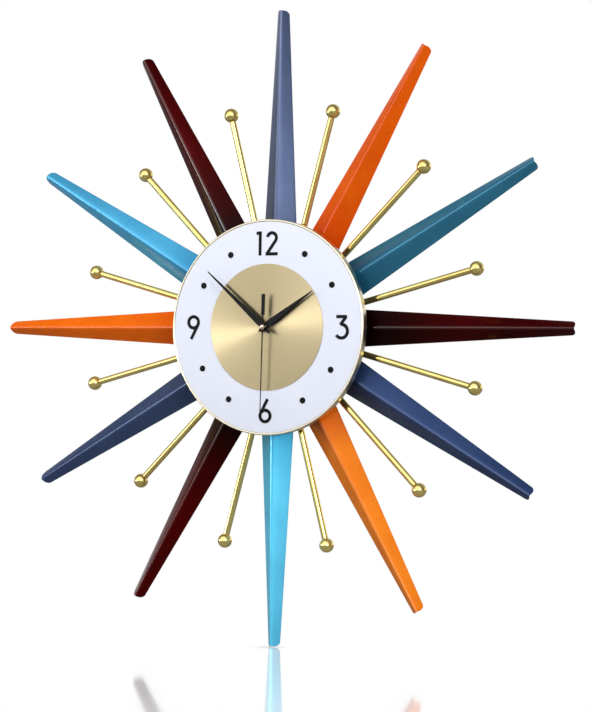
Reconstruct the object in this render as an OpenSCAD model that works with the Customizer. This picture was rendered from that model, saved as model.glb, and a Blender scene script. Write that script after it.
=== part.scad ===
// Sunburst wall clock with twelve folded rays, twelve ball-ended rods and a quartz movement.
// Millimetres. The clock faces -Y, +Z is up, and the origin is on the hands' axis at the wall.
// Every module draws in clock coordinates: x to the right, y up, z out from the wall towards
// the viewer. face() turns that into the part's own frame.

/* [Rays] */
// Radius from the hands' axis to the tips of the rays
ray_tip_r = 325; // [300:1:350]
// Radius at which a ray's channel starts under the dial
ray_root_r = 92; // [90:0.5:96]
// Width of a ray at its tip
ray_tip_w = 13.6; // [12:0.1:16]
// Width that a ray gains for each millimetre towards the dial
ray_taper = 0.106; // [0.09:0.001:0.11]
// Height of the fold above the edges at the tip
ray_tip_rise = 8; // [7:0.1:9]
// Height of the fold above the edges at the root
ray_root_rise = 12.9; // [11:0.1:13]
// Thickness of the folded sheet
ray_sheet = 1; // [0.8:0.1:1.2]
// Radius of the rounded corners at the tip
ray_corner = 3.5; // [2:0.1:4]

/* [Rods] */
// Diameter of a rod
rod_d = 6.6; // [6:0.1:7]
// Diameter of the ball on a rod's end
ball_d = 14.8; // [12:0.1:15]
// Radius from the hands' axis to the ball centres
ball_ring_r = 227.5; // [200:0.5:240]
// Radius at which a rod starts on the hub plate
rod_root_r = 70; // [68:0.5:74]

/* [Dial] */
// Outer radius of the dial pan
dial_r = 109.7; // [108:0.1:111]
// Height of the dial's face above the wall
face_h = 34; // [34:0.1:35]
// Depth of the pan's side wall
pan_depth = 7.9; // [7:0.1:8.5]
// Width of the rim around the face
rim_w = 1.2; // [1:0.1:1.5]
// Radius of the metal disc in the middle
disc_r = 64.4; // [60:0.1:68]
// Radius of the ring on which the hour marks stand
mark_ring_r = 85.1; // [84:0.1:87]
// Height of a numeral
numeral_h = 24.4; // [22:0.1:26]
// Width of a numeral's stroke
stroke_w = 3; // [2.4:0.1:3.4]
// Diameter of an hour dot
dot_d = 6; // [4:0.1:7]

/* [Hands] */
// Length of the hour hand from axis to tip
hour_len = 65; // [55:0.5:68]
// Length of the minute hand from axis to tip
minute_len = 86.6; // [75:0.5:92]
// Length of the seconds hand from axis to tip
seconds_len = 92.5; // [80:0.5:98]
// Angle of the hour hand clockwise from 12
hour_angle = 55.9; // [0:0.1:360]
// Angle of the minute hand clockwise from 12
minute_angle = 310.8; // [0:0.1:360]
// Angle of the seconds hand clockwise from 12
seconds_angle = 181; // [0:0.5:360]

/* [Hub] */
// Radius of the steel plate that carries rays and rods
plate_r = 94; // [93:0.5:95]
// Thickness of that plate
plate_t = 1.5; // [1.5:0.1:1.6]
// Radius of the opening in the plate around the movement
plate_opening_r = 45; // [44:0.5:46]
// Height above the axis of the hole that hangs on the nail
nail_y = 57; // [56:0.5:58]
// Diameter of that hole
nail_hole_d = 8; // [7:0.1:8.5]

/* [Movement] */
// Side of the square movement case
case_w = 56; // [56:0.5:57]
// Depth of the movement case
case_d = 18; // [18:0.1:18.4]
// Outer diameter of the threaded centre tube
tube_d = 8; // [7.9:0.1:8.1]
// Radial clearance between one turning shaft and the next
running = 0.05; // [0.03:0.01:0.08]

/* [Hidden] */
$fn = 64;
hours = 12;
HOUR_NAMES = ["01", "02", "03", "04", "05", "06", "07", "08", "09", "10", "11", "12"];

// heights above the wall
plate_h = 3.5;                               // rear face of the hub plate
plate_top = plate_h + plate_t;
foot_t = 1.5;                                // welded foot under a ray
edge_h = plate_top + foot_t;                 // plane of a ray's two edges
rod_h = plate_top + 3;                       // axis of the rods
board_h = 20;                                // rear face of the backing board
face_t = 0.8;                                // printed face sheet
pan_t = 0.8;                                 // front plate of the dial pan
pan_top = face_h - face_t;
board_top = pan_top - pan_t;
mark_t = 0.3;                                // thickness of the printed marks
disc_t = 0.5;
hour_h = face_h + 4;                         // rear face of each hand
minute_h = face_h + 6.2;
seconds_h = face_h + 8.2;
hand_t = 0.8;
front_wall = 1.8;
cavity_top = case_d - front_wall;
cover_t = 2;
tube_top = face_h + 3.2;

// levels of the wheels inside the movement, from the rear
intermediate_h = 2.6;
fourth_h = 4;
third_h = 5.4;
centre_h = 6.8;
bridge_h = 8.2;
bridge_t = 1.2;
minute_wheel_h = 10;
hour_wheel_h = 11.8;
thin = 0.8;                                  // thickness of the small wheels
thick = 1;                                   // thickness of the motion wheels

// teeth
rotor_leaves = 8;
small_leaves = 8;
intermediate_teeth = 40;
fourth_teeth = 48;
third_teeth = 60;
centre_teeth = 64;
cannon_leaves = 12;
minute_wheel_teeth = 36;
minute_leaves = 10;
hour_teeth = 40;
set_leaves = 12;
addendum = 0.85;                             // tooth height above the pitch circle, in modules
dedendum = 1.1;
backlash = 0.12;                             // share of the tooth taken off for free running
pressure = 20;

// distances between the arbors, and the modules that they give
third_reach = 10.2;
intermediate_reach = 10.2;
rotor_reach = 6.72;
minute_reach = 11.4;
third_dir = 160;                             // direction from the first arbor to the second
intermediate_dir = 60;
rotor_dir = 110;
minute_dir = 20;
set_dir = 45;
third_at = third_reach * heading(third_dir);
intermediate_at = intermediate_reach * heading(intermediate_dir);
rotor_at = intermediate_at + rotor_reach * heading(rotor_dir);
minute_at = minute_reach * heading(minute_dir);
set_at = minute_at + minute_reach * heading(set_dir);
third_m = gear_module(third_reach, small_leaves, third_teeth);
centre_m = gear_module(third_reach, small_leaves, centre_teeth);
fourth_m = gear_module(intermediate_reach, small_leaves, fourth_teeth);
rotor_m = gear_module(rotor_reach, rotor_leaves, intermediate_teeth);
cannon_m = gear_module(minute_reach, cannon_leaves, minute_wheel_teeth);
hour_m = gear_module(minute_reach, minute_leaves, hour_teeth);

// concentric shafts, from the outside in
tube_bore = 2.75;
hour_pipe_r = tube_bore - running;
hour_bore = 1.8;
minute_pipe_r = hour_bore - running;
minute_bore = 0.85;
seconds_shaft_r = minute_bore - running;
pivot_r = 0.4;
arbor_r = 0.5;

// battery bay, an AA cell lying across the lower half
cell_r = 7.2;
cell_y = -18.9;
cell_h = 7.9;
cell_len = 49.3;
cell_x = -24.3;                              // left end of the cell's can
bay_half = 7.5;
bay_x = case_w / 2 - 1.4;
knob_r = 5;
knob_recess_r = 6.3;
knob_recess_h = 3.4;

// screws
screw_r = 1.5;
screw_head_r = 2.75;
screw_head_t = 1.8;
long_screw_r = 2;
standoff_at = 43;                            // x and y of each standoff
pad_ring_r = 66;

NODES = concat(
    [for (n = HOUR_NAMES) str("ray_", n)],
    [for (n = HOUR_NAMES) str("rod_", n)],
    ["ball_finials", "hub_plate", "hanger_plate", "hub_screws", "wall_pads",
     "standoffs", "standoff_screws", "backing_board", "dial_pan", "dial_face",
     "centre_disc", "hour_marks", "dial_nut", "hour_hand", "minute_hand", "seconds_hand",
     "hand_cap", "movement_case", "rear_cover", "train_bridge", "centre_tube",
     "rubber_washer", "hour_wheel", "cannon_pinion", "centre_wheel", "seconds_wheel",
     "third_wheel", "intermediate_wheel", "rotor", "minute_wheel", "set_knob",
     "stator", "coil", "circuit_board", "battery", "battery_contacts"]);
node = "all";

function heading(a) = [cos(a), sin(a)];
function gear_module(reach, n1, n2) = 2 * reach / (n1 + n2);
function mix(a, b, t) = a + (b - a) * t;

module face() rotate([90, 0, 0]) children();
// turns by a degrees clockwise from 12, as the viewer sees it
module clockwise(a) rotate([0, 0, -a]) children();
module tube(outer, inner, h0, h1) {
    translate([0, 0, h0]) difference() {
        cylinder(r = outer, h = h1 - h0);
        translate([0, 0, -1]) cylinder(r = inner, h = h1 - h0 + 2);
    }
}
module rod_between(r, h0, h1) translate([0, 0, h0]) cylinder(r = r, h = h1 - h0);
module box(x0, x1, y0, y1, h0, h1) translate([x0, y0, h0]) cube([x1 - x0, y1 - y0, h1 - h0]);

// ---- rays ----

ray_span = ray_tip_r - ray_root_r;
fold_half = 1.2;                             // half width of the rounded fold
fold_rise = 0.5;                             // how far the rounding cuts the sharp fold down
// stations along a ray: distance back from the tip, and the share of each flank cut away there
ray_stations = concat(
    [for (i = [0:5]) [mix(ray_span, ray_corner, i / 5), 0]],
    [for (a = [30:30:90]) [ray_corner * (1 - sin(a)), 0.4 * (1 - cos(a))]]);

function ray_width(back) = ray_tip_w + ray_taper * back;
function ray_rise(back) = mix(ray_tip_rise, ray_root_rise, back / ray_span);

// closed outline of the folded sheet at one station: the outside from left to right, then the
// inside from right to left, with the flanks' lower ends cut back by cut
function ray_section(back, cut) =
    let (w = ray_width(back), rise = ray_rise(back), apex = rise + fold_rise,
         slope = 2 * apex / w, drop = ray_sheet * sqrt(1 + slope * slope),
         y = ray_tip_r - back,
         edge = [w / 2, 0], fold = [fold_half, apex - slope * fold_half],
         in_edge = [w / 2 - drop / slope, 0],
         in_fold = [0.6 * fold_half, apex - slope * 0.6 * fold_half - drop],
         out_low = mix(edge, fold, cut), in_low = mix(in_edge, in_fold, cut))
    [for (p = [[-out_low[0], out_low[1]], [-fold[0], fold[1]], [0, rise], fold, out_low,
               in_low, in_fold, [0, rise - 1.15 * ray_sheet], [-in_fold[0], in_fold[1]],
               [-in_low[0], in_low[1]]]) [p[0], y, p[1]]];

// solid skin over folded sections of one count; the end walls run between point i of the
// outside and its partner n - 1 - i on the inside
module loft(rings) {
    n = len(rings[0]);
    last = (len(rings) - 1) * n;
    sides = [for (a = [0:n:last - n]) for (j = [0:n - 1])
        let (p = a + j, q = a + (j + 1) % n) each [[p, q + n, q], [p, p + n, q + n]]];
    root = [for (i = [0:n / 2 - 2]) each [[i, n - 2 - i, n - 1 - i], [i, i + 1, n - 2 - i]]];
    tip = [for (f = root) [f[0] + last, f[2] + last, f[1] + last]];
    polyhedron(points = [for (ring = rings) each ring], faces = concat(sides, root, tip));
}

foot_w = 17;
foot_in_r = 75;
foot_out_r = 100;
foot_holes = [79.5, 88];

module ray(hour, paint) {
    color(paint) face() clockwise(hour * 360 / hours) translate([0, 0, edge_h]) {
        loft([for (s = ray_stations) ray_section(s[0], s[1])]);
        difference() {
            union() {
                box(-foot_w / 2, foot_w / 2, foot_in_r, foot_out_r, -foot_t, 0);
                box(-17, 17, ray_root_r + 0.5, foot_out_r, -foot_t, 0.25);
            }
            for (r = foot_holes) translate([0, r, -foot_t - 1]) cylinder(r = screw_r, h = foot_t + 2);
        }
    }
}

// ---- rods and balls ----

rod_holes = [75, 86];
spigot_r = 2;
ball_depth = 5.5;                            // how far a rod's spigot goes into its ball
ball_seat = ball_ring_r - sqrt(pow(ball_d / 2, 2) - pow(rod_d / 2, 2)) - 0.1;

module rod(index) {
    color("khaki") face() clockwise((index + 0.5) * 360 / hours) difference() {
        translate([0, 0, rod_h]) rotate([-90, 0, 0]) union() {
            translate([0, 0, rod_root_r]) cylinder(d = rod_d, h = ball_seat - rod_root_r);
            translate([0, 0, ball_seat - 1]) cylinder(r = spigot_r, h = ball_depth + 1);
        }
        // flat that lies on the hub plate
        box(-5, 5, rod_root_r - 1, plate_r + 2, plate_top - 2, plate_top);
        for (r = rod_holes) translate([0, r, plate_top - 1]) cylinder(r = screw_r, h = 5);
    }
}

module ball_finials() {
    color("khaki") face() for (i = [1:hours]) clockwise((i + 0.5) * 360 / hours)
        translate([0, 0, rod_h]) rotate([-90, 0, 0]) difference() {
            translate([0, 0, ball_ring_r]) sphere(d = ball_d);
            translate([0, 0, ball_seat - 5]) cylinder(r = spigot_r, h = ball_depth + 5);
            translate([0, 0, ball_seat - 5]) cylinder(d = rod_d, h = 5);
        }
}

// ---- hub ----

nail_clear_r = 7;                            // room in the hub plate for the nail's head
hanger_screw_x = 14;

module at_foot_screws() for (i = [1:hours]) clockwise(i * 360 / hours)
    for (r = foot_holes) translate([0, r, 0]) children();
module at_rod_screws() for (i = [1:hours]) clockwise((i + 0.5) * 360 / hours)
    for (r = rod_holes) translate([0, r, 0]) children();
module at_hanger_screws() for (s = [-1, 1]) translate([s * hanger_screw_x, nail_y, 0]) children();
module at_standoffs() for (sx = [-1, 1], sy = [-1, 1])
    translate([sx * standoff_at, sy * standoff_at, 0]) children();

module hub_plate() {
    color("dimgray") face() difference() {
        rod_between(plate_r, plate_h, plate_top);
        rod_between(plate_opening_r, plate_h - 1, plate_top + 1);
        at_foot_screws() rod_between(screw_r + 0.2, plate_h - 1, plate_top + 1);
        at_rod_screws() rod_between(screw_r + 0.2, plate_h - 1, plate_top + 1);
        at_hanger_screws() rod_between(screw_r, plate_h - 1, plate_top + 1);
        at_standoffs() rod_between(long_screw_r + 0.2, plate_h - 1, plate_top + 1);
        translate([0, nail_y, 0]) rod_between(nail_clear_r, plate_h - 1, plate_top + 1);
    }
}

hanger_h = plate_h - 1.5;

module hanger_plate() {
    color("silver") face() difference() {
        hull() at_hanger_screws() rod_between(5.5, hanger_h, plate_h);
        translate([0, nail_y, 0]) rod_between(nail_hole_d / 2, hanger_h - 1, plate_h + 1);
        at_hanger_screws() rod_between(screw_r + 0.2, hanger_h - 1, plate_h + 1);
    }
}

// pan-head screw whose head sits under height h and whose shank reaches up to top
module screw(r, head_r, head_t, h, top) {
    difference() {
        union() {
            rod_between(head_r, h - head_t, h);
            rod_between(r, h - 0.1, top);
        }
        for (a = [0, 90]) rotate(a) box(-head_r * 0.6, head_r * 0.6, -0.4, 0.4,
                                        h - head_t - 1, h - head_t + 0.9);
    }
}

module hub_screws() {
    color("lightgray") face() {
        at_foot_screws() screw(screw_r - 0.02, screw_head_r, screw_head_t, plate_h, edge_h + 1);
        at_rod_screws() screw(screw_r - 0.02, screw_head_r, screw_head_t, plate_h, plate_top + 3.6);
        at_hanger_screws() screw(screw_r - 0.02, screw_head_r, 1.6, hanger_h, plate_top + 1);
    }
}

module wall_pads() {
    color("black") face() for (a = [90, 180, 270]) clockwise(a)
        translate([0, pad_ring_r, 0]) rod_between(6, 0, plate_h);
}

module standoffs() {
    color("silver") face() at_standoffs() difference() {
        translate([0, 0, plate_top]) cylinder(r = 4.6, h = board_h - plate_top, $fn = 6);
        rod_between(long_screw_r, plate_top - 1, board_h + 1);
    }
}

module standoff_screws() {
    color("lightgray") face() at_standoffs()
        screw(long_screw_r - 0.02, 3.6, 2.4, plate_h, board_h + 8);
}

// ---- dial ----

board_step_h = 27.5;
board_r = dial_r - rim_w - 0.2;
board_rear_r = dial_r - 12;
tube_clear_r = tube_d / 2 + 0.3;

module backing_board() {
    color("saddlebrown") face() difference() {
        union() {
            rod_between(board_rear_r, board_h, board_step_h);
            rod_between(board_r, board_step_h - 0.1, board_top);
        }
        rod_between(tube_clear_r, board_h - 1, board_top + 1);
        at_standoffs() rod_between(long_screw_r, board_h - 1, board_h + 8.5);
    }
}

pan_lip_h = face_h + 0.5;

module dial_pan() {
    color("wheat") face() rotate_extrude($fn = 180) polygon(concat(
        [[tube_clear_r, board_top], [board_r + 0.1, board_top], [board_r + 0.1, pan_lip_h - pan_depth],
         [dial_r, pan_lip_h - pan_depth]],
        // rounded lip
        [for (a = [0:30:180]) [dial_r - rim_w / 2 + rim_w / 2 * cos(a),
                               pan_lip_h - rim_w / 2 + rim_w / 2 * sin(a)]],
        [[dial_r - rim_w, pan_top], [tube_clear_r, pan_top]]));
}

module dial_face() color("ghostwhite") face() tube(dial_r - rim_w - 0.05, tube_clear_r, pan_top, face_h);
module centre_disc() color("burlywood") face() tube(disc_r, tube_clear_r, face_h, face_h + disc_t);

// straight stroke from a to b, square ended
module stroke(a, b) {
    d = b - a;
    translate(a) rotate(atan2(d[1], d[0])) translate([0, -stroke_w / 2]) square([norm(d), stroke_w]);
}
// part of a round stroke about c from angle a0 to a1, anticlockwise and under a full turn
module arc(c, r, a0, a1) {
    step = (a1 - a0) / 4;
    reach = 2 * (r + stroke_w);
    translate(c) intersection() {
        difference() {
            circle(r = r + stroke_w / 2);
            circle(r = r - stroke_w / 2);
        }
        polygon(concat([[0, 0]], [for (i = [0:4]) reach * heading(a0 + i * step)]));
    }
}

mid = (numeral_h - stroke_w) / 2;            // from a numeral's centre to its outer stroke's axis
module numeral_one() {
    stroke([0, -numeral_h / 2], [0, numeral_h / 2]);
    stroke([-4.2, mid - 0.4], [0.5, mid]);
}
module numeral_two() {
    r = 5.1;
    top = mid - r;
    corner = [-5.6, -mid];
    arc([0, top], r, -38, 170);
    stroke([r * cos(-38), top + r * sin(-38)] + [0.5, 0.7], corner);
    stroke([-6.9, -mid], [6.6, -mid]);
}
module numeral_three() {
    r = 6.8;
    low = r - mid;
    stroke([-5.8, mid], [5.9, mid]);
    stroke([5.2, mid], [-1.2, low + r - 0.3]);
    arc([0, low], r, -145, 95);
}
module numeral_six() {
    r = 5.8;
    low = r - mid;
    difference() {
        translate([0, low]) circle(r = r + stroke_w / 2);
        translate([0, low]) circle(r = r - stroke_w / 2);
    }
    stroke([-r * 0.87, low + r * 0.5], [2.6, numeral_h / 2]);
}

module at_hour(h) translate(mark_ring_r * [sin(h * 30), cos(h * 30)]) children();

module hour_marks() {
    color("black") face() translate([0, 0, face_h]) linear_extrude(mark_t) {
        at_hour(12) {
            translate([-8.6, 0]) numeral_one();
            translate([4.9, 0]) numeral_two();
        }
        at_hour(3) numeral_three();
        at_hour(6) numeral_six();
        at_hour(9) rotate(180) numeral_six();
        for (h = [1, 2, 4, 5, 7, 8, 10, 11]) at_hour(h) circle(d = dot_d);
    }
}

nut_r = 4.6;

module dial_nut() {
    color("gold") face() difference() {
        union() {
            rod_between(nut_r, face_h + disc_t, face_h + disc_t + 0.5);
            rod_between(nut_r - 0.2, face_h + disc_t + 0.4, face_h + disc_t + 1.8);
        }
        rod_between(tube_d / 2, face_h, face_h + 4);
    }
}

// ---- hands ----

// long diamond: tail point, widest place close to the axis, tip
module blade(len, tail, w, widest) {
    polygon([[0, -tail], [w * 0.3, -tail * 0.55], [w * 0.36, -widest * 0.4], [w / 2, widest],
             [0.35, len], [-0.35, len], [-w / 2, widest], [-w * 0.36, -widest * 0.4],
             [-w * 0.3, -tail * 0.55]]);
}

module hour_hand() {
    color("black") face() clockwise(hour_angle) difference() {
        union() {
            translate([0, 0, hour_h]) linear_extrude(hand_t) blade(hour_len, 8.5, 7.6, 9);
            rod_between(hour_pipe_r + 0.75, tube_top + 0.15, hour_h + 0.2);
        }
        rod_between(hour_pipe_r, 0, hour_h + hand_t + 1);
    }
}

module minute_hand() {
    color("black") face() clockwise(minute_angle) difference() {
        union() {
            translate([0, 0, minute_h]) linear_extrude(hand_t) blade(minute_len, 11, 5.6, 9);
            rod_between(minute_pipe_r + 0.8, hour_h + hand_t + 0.3, minute_h + 0.2);
        }
        rod_between(minute_pipe_r, 0, minute_h + hand_t + 1);
    }
}

weight_from = 12.2;
weight_to = 33.4;

module seconds_hand() {
    color("black") face() clockwise(seconds_angle) difference() {
        union() {
            translate([0, 0, seconds_h]) linear_extrude(0.5) {
                polygon([[-0.7, 0], [0.7, 0], [0.45, seconds_len], [-0.45, seconds_len]]);
                translate([-0.8, -weight_from - 1]) square([1.6, weight_from + 1]);
                translate([-2.1, -weight_to]) square([4.2, weight_to - weight_from]);
                circle(r = 2.4);
            }
            rod_between(1.6, minute_h + hand_t + 0.3, seconds_h + 0.1);
        }
        rod_between(seconds_shaft_r, 0, seconds_h + 2);
    }
}

cap_r = 3;

module hand_cap() {
    color("peru") face() translate([0, 0, seconds_h + 0.5]) intersection() {
        sphere(r = cap_r);
        rod_between(cap_r + 1, 0, cap_r);
    }
}

// ---- movement ----

wall = 1.4;
half = case_w / 2;
post_at = 24.4;

module movement_case() {
    color("black") face() difference() {
        union() {
            difference() {
                box(-half, half, -half, half, cover_t, case_d);
                box(wall - half, half - wall, wall - half, half - wall, cover_t - 1, cavity_top);
            }
            // wall between wheels and battery
            box(wall - half - 0.1, half - wall + 0.1, cell_y + bay_half, cell_y + bay_half + 1.2,
                cover_t, cavity_top + 0.1);
            // posts that the train bridge sits on
            for (x = [-post_at, post_at]) for (y = [-7.8, post_at])
                translate([x, y, 0]) rod_between(1.6, bridge_h + bridge_t, cavity_top + 0.1);
        }
        rod_between(tube_d / 2, cavity_top - 1, case_d + 1);
        // pivot holes of the minute wheel and of the set knob
        translate(minute_at) rod_between(pivot_r + running, cavity_top - 1, cavity_top + 0.8);
        translate(set_at) rod_between(pivot_r + running, cavity_top - 1, cavity_top + 0.8);
    }
}

module rear_cover() {
    color("black") face() difference() {
        union() {
            box(-half, half, -half, half, 0, cover_t);
            // cup around the set knob
            translate(set_at) rod_between(knob_recess_r + 1, cover_t - 0.1, knob_recess_h + 1);
            // posts that hold the train bridge down
            for (x = [-post_at, post_at]) for (y = [-7.8, post_at])
                translate([x, y, 0]) rod_between(1.6, cover_t - 0.1, bridge_h);
        }
        // opening for the battery
        box(-bay_x, bay_x, cell_y - bay_half, cell_y + bay_half, -1, cover_t + 1);
        translate(set_at) rod_between(knob_recess_r, -1, knob_recess_h);
        translate(set_at) rod_between(1.2 + running, -1, knob_recess_h + 2);
        // blind pivot holes
        for (p = [[0, 0], third_at, intermediate_at, rotor_at])
            translate(p) rod_between(pivot_r + running, cover_t - 1, cover_t + 1);
    }
}

module train_bridge() {
    color("white") face() difference() {
        box(-26.4, 26.4, cell_y + bay_half + 1.4, 26.4, bridge_h, bridge_h + bridge_t);
        // the cannon pinion passes through
        rod_between(3.6, bridge_h - 1, bridge_h + bridge_t + 1);
        for (p = [third_at, intermediate_at, rotor_at, minute_at])
            translate(p) rod_between(pivot_r + running, bridge_h - 1, bridge_h + bridge_t + 1);
        translate(set_at) rod_between(1.2 + running, bridge_h - 1, bridge_h + bridge_t + 1);
    }
}

module centre_tube() {
    color("gold") face() {
        tube(tube_d / 2, tube_bore, cavity_top - 0.1, tube_top);
        tube(tube_d / 2 + 1.5, tube_bore, cavity_top - 2.4, cavity_top);
    }
}

module rubber_washer() color("black") face() tube(10, tube_clear_r, case_d, board_h);

// ---- wheels ----

function involute(a) = tan(a) - a * PI / 180;
// half of a tooth's angle at radius r, in degrees, for pitch radius p
function half_tooth(n, p, r) =
    let (base = p * cos(pressure), at = max(r, base))
    90 / n * (1 - backlash)
        + (involute(pressure) - involute(acos(min(1, base / at)))) * 180 / PI;
// outline of a gear of n teeth and module m with one tooth pointing along direction dir
function gear_outline(n, m, dir) =
    let (p = m * n / 2, tip = p + addendum * m, low = p - dedendum * m)
    [for (k = [0:n - 1]) for (q = [[low, -1], [p, -1], [tip, -1], [tip, 1], [p, 1], [low, 1]])
        q[0] * heading(dir + k * 360 / n + q[1] * half_tooth(n, p, q[0]))];
module gear(n, m, dir, h, t) translate([0, 0, h]) linear_extrude(t) polygon(gear_outline(n, m, dir));
// direction that puts a gap, not a tooth, towards a partner seen along dir
function gap(dir, n) = dir + 180 + 180 / n;

module hour_wheel() {
    color("white") face() difference() {
        union() {
            gear(hour_teeth, hour_m, gap(minute_dir + 180, hour_teeth), hour_wheel_h, thick);
            rod_between(hour_pipe_r, hour_wheel_h, hour_h + hand_t);
        }
        rod_between(hour_bore, 0, 50);
    }
}

module cannon_pinion() {
    color("white") face() difference() {
        union() {
            rod_between(minute_pipe_r, centre_h - 0.1, minute_h + hand_t);
            gear(cannon_leaves, cannon_m, minute_dir, minute_wheel_h - 0.4, 1.6);
            // collar that the centre wheel is pinched against
            rod_between(2.3, centre_h + thin + 0.05, minute_wheel_h - 0.3);
            rod_between(2.3, centre_h - 0.3, centre_h - 0.05);
        }
        rod_between(minute_bore, 0, 50);
    }
}

module centre_wheel() {
    color("white") face() difference() {
        gear(centre_teeth, centre_m, gap(third_dir + 180, centre_teeth), centre_h, thin);
        rod_between(minute_pipe_r + running, 0, 20);
    }
}

module seconds_wheel() {
    color("white") face() {
        gear(fourth_teeth, fourth_m, gap(intermediate_dir + 180, fourth_teeth), fourth_h, thin);
        gear(small_leaves, third_m, third_dir, fourth_h + thin - 0.1, 1.6);
        rod_between(seconds_shaft_r, fourth_h - 0.4, seconds_h + 0.5);
        rod_between(pivot_r, cover_t - 0.8, fourth_h);
    }
}

// arbor with a pivot at each end: rear in the cover, front in the bridge
module arbor() {
    rod_between(pivot_r, cover_t - 0.8, bridge_h + 1);
    rod_between(arbor_r, cover_t + 0.1, bridge_h - 0.1);
}

module third_wheel() {
    color("white") face() translate(third_at) {
        gear(third_teeth, third_m, gap(third_dir, third_teeth), third_h, thin);
        gear(small_leaves, centre_m, third_dir + 180, third_h + thin - 0.1, 1.7);
        arbor();
    }
}

module intermediate_wheel() {
    color("white") face() translate(intermediate_at) {
        gear(intermediate_teeth, rotor_m, gap(rotor_dir + 180, intermediate_teeth), intermediate_h, thin);
        gear(small_leaves, fourth_m, intermediate_dir + 180, intermediate_h + thin - 0.1, 1.8);
        arbor();
    }
}

magnet_r = 3;

module rotor() {
    color("slategray") face() translate(rotor_at) {
        gear(rotor_leaves, rotor_m, rotor_dir + 180, intermediate_h - 0.2, 1.3);
        rod_between(magnet_r, intermediate_h + 1.6, bridge_h - 0.5);
        arbor();
    }
}

module minute_wheel() {
    color("white") face() translate(minute_at) {
        gear(minute_wheel_teeth, cannon_m, gap(minute_dir, minute_wheel_teeth), minute_wheel_h, thick);
        gear(minute_leaves, hour_m, minute_dir + 180, minute_wheel_h + thick - 0.1, 2);
        rod_between(pivot_r, bridge_h + 0.1, cavity_top + 0.6);
        rod_between(arbor_r, bridge_h + bridge_t + 0.1, cavity_top - 0.2);
    }
}

module set_knob() {
    color("white") face() translate(set_at) {
        difference() {
            rod_between(knob_r, 0.4, knob_recess_h - 0.3);
            for (i = [0:23]) rotate(i * 15) translate([knob_r + 0.1, 0, 0]) rod_between(0.4, 0, 4);
        }
        rod_between(1.2, knob_recess_h - 0.4, minute_wheel_h);
        gear(set_leaves, cannon_m, gap(set_dir, set_leaves), minute_wheel_h - 0.3, 1.6);
        rod_between(pivot_r, minute_wheel_h, cavity_top + 0.6);
    }
}

// ---- motor, circuit and battery ----

coil_y = 22.4;
coil_left = -18;
coil_right = -2;
coil_h = 5.6;
coil_r = 2.2;
flange_r = 2.5;
flange_t = 0.8;
stator_h = 5;
arm_w = 4.4;                                 // width of the stator's arms

module stator() {
    left = coil_left - arm_w;
    right = coil_right + arm_w;
    color("gray") face() translate([0, 0, stator_h]) linear_extrude(1) difference() {
        polygon([[left, 25.6], [left, 14.6], [-2.8, 14.6], [-2.4, 10.6], [8, 10.6], [8, 19.6],
                 [right, 20.2], [right, 25.6], [coil_right, 25.6], [coil_right, 19.2],
                 [coil_left, 19.2], [coil_left, 25.6]]);
        translate(rotor_at) circle(r = magnet_r + 0.6);
    }
}

module coil() {
    length = coil_right - coil_left;
    color("chocolate") face() translate([coil_left, coil_y, coil_h]) rotate([0, 90, 0]) {
        cylinder(r = coil_r, h = length);
        cylinder(r = flange_r, h = flange_t);
        translate([0, 0, length - flange_t]) cylinder(r = flange_r, h = flange_t);
    }
}

module circuit_board() {
    color("green") face() {
        box(3.4, 22.4, 20.4, 26.2, 6, 7);
        // quartz crystal can on its lead block, and the drop over the chip
        translate([6, 23.4, 4.4]) rotate([0, 90, 0]) cylinder(r = 1.5, h = 8);
        box(6.5, 7.5, 22.8, 24, 5, 6.1);
        translate([18.5, 23.2, 0]) rod_between(2, 5, 6.1);
    }
}

module battery() {
    color("saddlebrown") face() translate([cell_x, cell_y, cell_h]) rotate([0, 90, 0]) {
        cylinder(r = cell_r, h = cell_len);
        translate([0, 0, cell_len - 0.1]) cylinder(r = 2.75, h = 1.1);
    }
}

module battery_contacts() {
    color("silver") face() {
        // flat strip at the cell's nub
        box(cell_x + cell_len + 1, cell_x + cell_len + 1.4, cell_y - 4, cell_y + 4, 2.4, 13.6);
        // plate and sprung dome at the flat end
        box(-bay_x, -bay_x + 0.5, cell_y - 5, cell_y + 5, 2.4, 13.6);
        translate([-bay_x + 0.4, cell_y, cell_h]) rotate([0, 90, 0])
            cylinder(r1 = 4.2, r2 = 2.2, h = cell_x + bay_x - 0.4);
    }
}

// ---- the whole clock ----

slate = "#4a5a80";
orange_paint = "#e8641a";
sky = "#3f9fc0";
oxblood = "#5a0a10";
// colour of each ray, from the one at 1 to the one at 12
ray_paints = [orange_paint, sky, oxblood, slate, orange_paint, sky,
              oxblood, slate, orange_paint, sky, oxblood, slate];

function shown(name) = node == "all" || node == name;

for (i = [1:hours]) if (shown(str("ray_", HOUR_NAMES[i - 1]))) ray(i, ray_paints[i - 1]);
for (i = [1:hours]) if (shown(str("rod_", HOUR_NAMES[i - 1]))) rod(i);
if (shown("ball_finials")) ball_finials();
if (shown("hub_plate")) hub_plate();
if (shown("hanger_plate")) hanger_plate();
if (shown("hub_screws")) hub_screws();
if (shown("wall_pads")) wall_pads();
if (shown("standoffs")) standoffs();
if (shown("standoff_screws")) standoff_screws();
if (shown("backing_board")) backing_board();
if (shown("dial_pan")) dial_pan();
if (shown("dial_face")) dial_face();
if (shown("centre_disc")) centre_disc();
if (shown("hour_marks")) hour_marks();
if (shown("dial_nut")) dial_nut();
if (shown("hour_hand")) hour_hand();
if (shown("minute_hand")) minute_hand();
if (shown("seconds_hand")) seconds_hand();
if (shown("hand_cap")) hand_cap();
if (shown("movement_case")) movement_case();
if (shown("rear_cover")) rear_cover();
if (shown("train_bridge")) train_bridge();
if (shown("centre_tube")) centre_tube();
if (shown("rubber_washer")) rubber_washer();
if (shown("hour_wheel")) hour_wheel();
if (shown("cannon_pinion")) cannon_pinion();
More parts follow.
